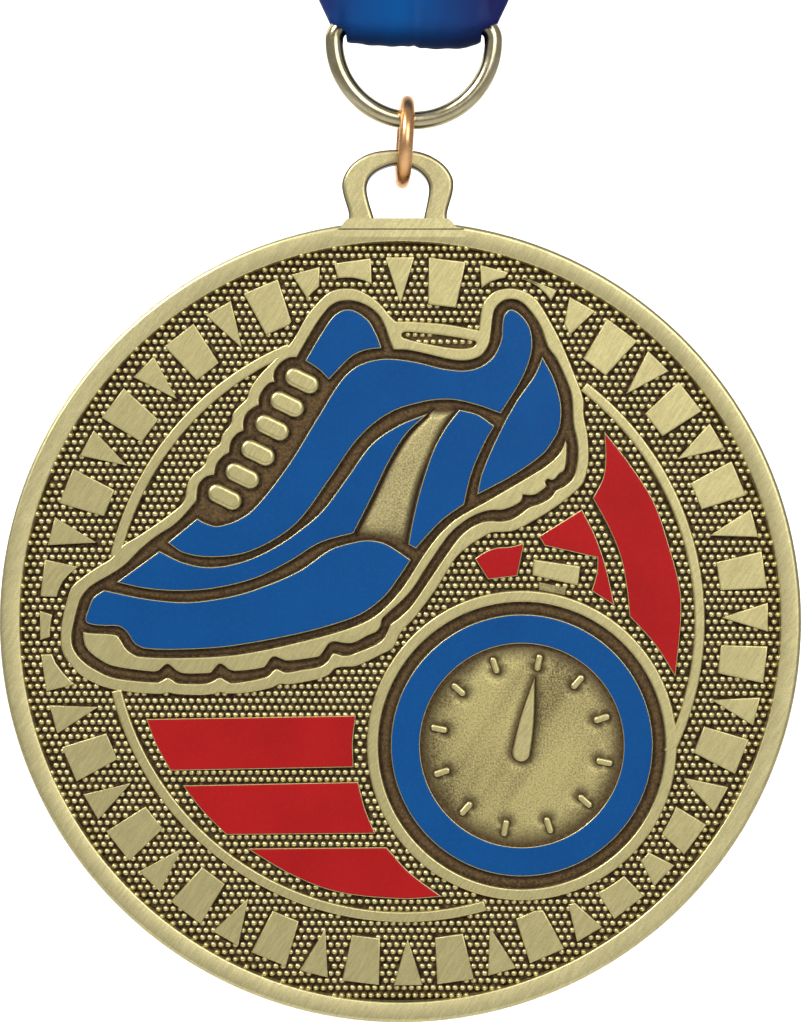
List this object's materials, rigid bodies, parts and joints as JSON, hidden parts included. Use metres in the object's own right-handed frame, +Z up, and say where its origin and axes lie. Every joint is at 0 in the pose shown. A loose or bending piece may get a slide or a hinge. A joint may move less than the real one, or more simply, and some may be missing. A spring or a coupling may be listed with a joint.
{
  "type": "finisher medal",
  "caption": "Round antique-gold finisher medal with a running shoe and stopwatch in relief, blue and red enamel, hung by a jump ring and D-ring from a looped blue satin neck ribbon.",
  "frame": {"origin": "middle of the ribbon's inner side at the top of its loop, where it rests on a hook or rail", "axes": "+Z up along the hanging medal and ribbon, -Y out of the decorated face, +Y out of the plain back, +X to the right seen from the front"},
  "size_m": [0.07, 0.011, 0.4755],
  "materials": {
    "antique_gold": "antique gold plating on cast zinc alloy, satin, dark in the recesses",
    "blue_enamel": "glossy soft enamel",
    "red_enamel": "glossy soft enamel",
    "copper_wire": "bright copper-toned plated wire",
    "ring_wire": "polished pale plated wire",
    "blue_satin": "woven satin",
    "blue_thread": "polyester sewing thread"
  },
  "bodies": {
    "ribbon": {"neck_ribbon": "blue_satin", "seam_lower": "blue_thread", "seam_upper": "blue_thread"},
    "d_ring_body": {"d_ring": "ring_wire"},
    "jump_ring_body": {"jump_ring": "copper_wire"},
    "medal": {"medal_casting": "antique_gold", "shoe_tongue_enamel": "blue_enamel", "shoe_collar_enamel": "blue_enamel", "shoe_middle_enamel": "blue_enamel", "shoe_toe_enamel": "blue_enamel", "shoe_quarter_enamel": "blue_enamel", "shoe_heel_enamel": "blue_enamel", "stopwatch_ring_enamel": "blue_enamel", "stripe_upper_enamel": "red_enamel", "stripe_middle_enamel": "red_enamel", "stripe_lower_enamel": "red_enamel", "crescent_enamel": "red_enamel", "flash_large_enamel": "red_enamel", "flash_small_enamel": "red_enamel"}
  },
  "joints": [
    {"name": "d_ring_swing", "type": "hinge", "parent": "ribbon", "child": "d_ring_body", "pos_m": [0, 0, -0.3877], "axis": [1, 0, 0], "range_deg": [-45, 45]},
    {"name": "jump_ring_swing", "type": "hinge", "parent": "d_ring_body", "child": "jump_ring_body", "pos_m": [-0.00068, 0, -0.3961], "axis": [1, 0, 0], "range_deg": [-60, 60]},
    {"name": "medal_swing", "type": "hinge", "parent": "jump_ring_body", "child": "medal", "pos_m": [-0.00117, 0, -0.40151], "axis": [0, 1, 0], "range_deg": [-50, 50]}
  ]
}
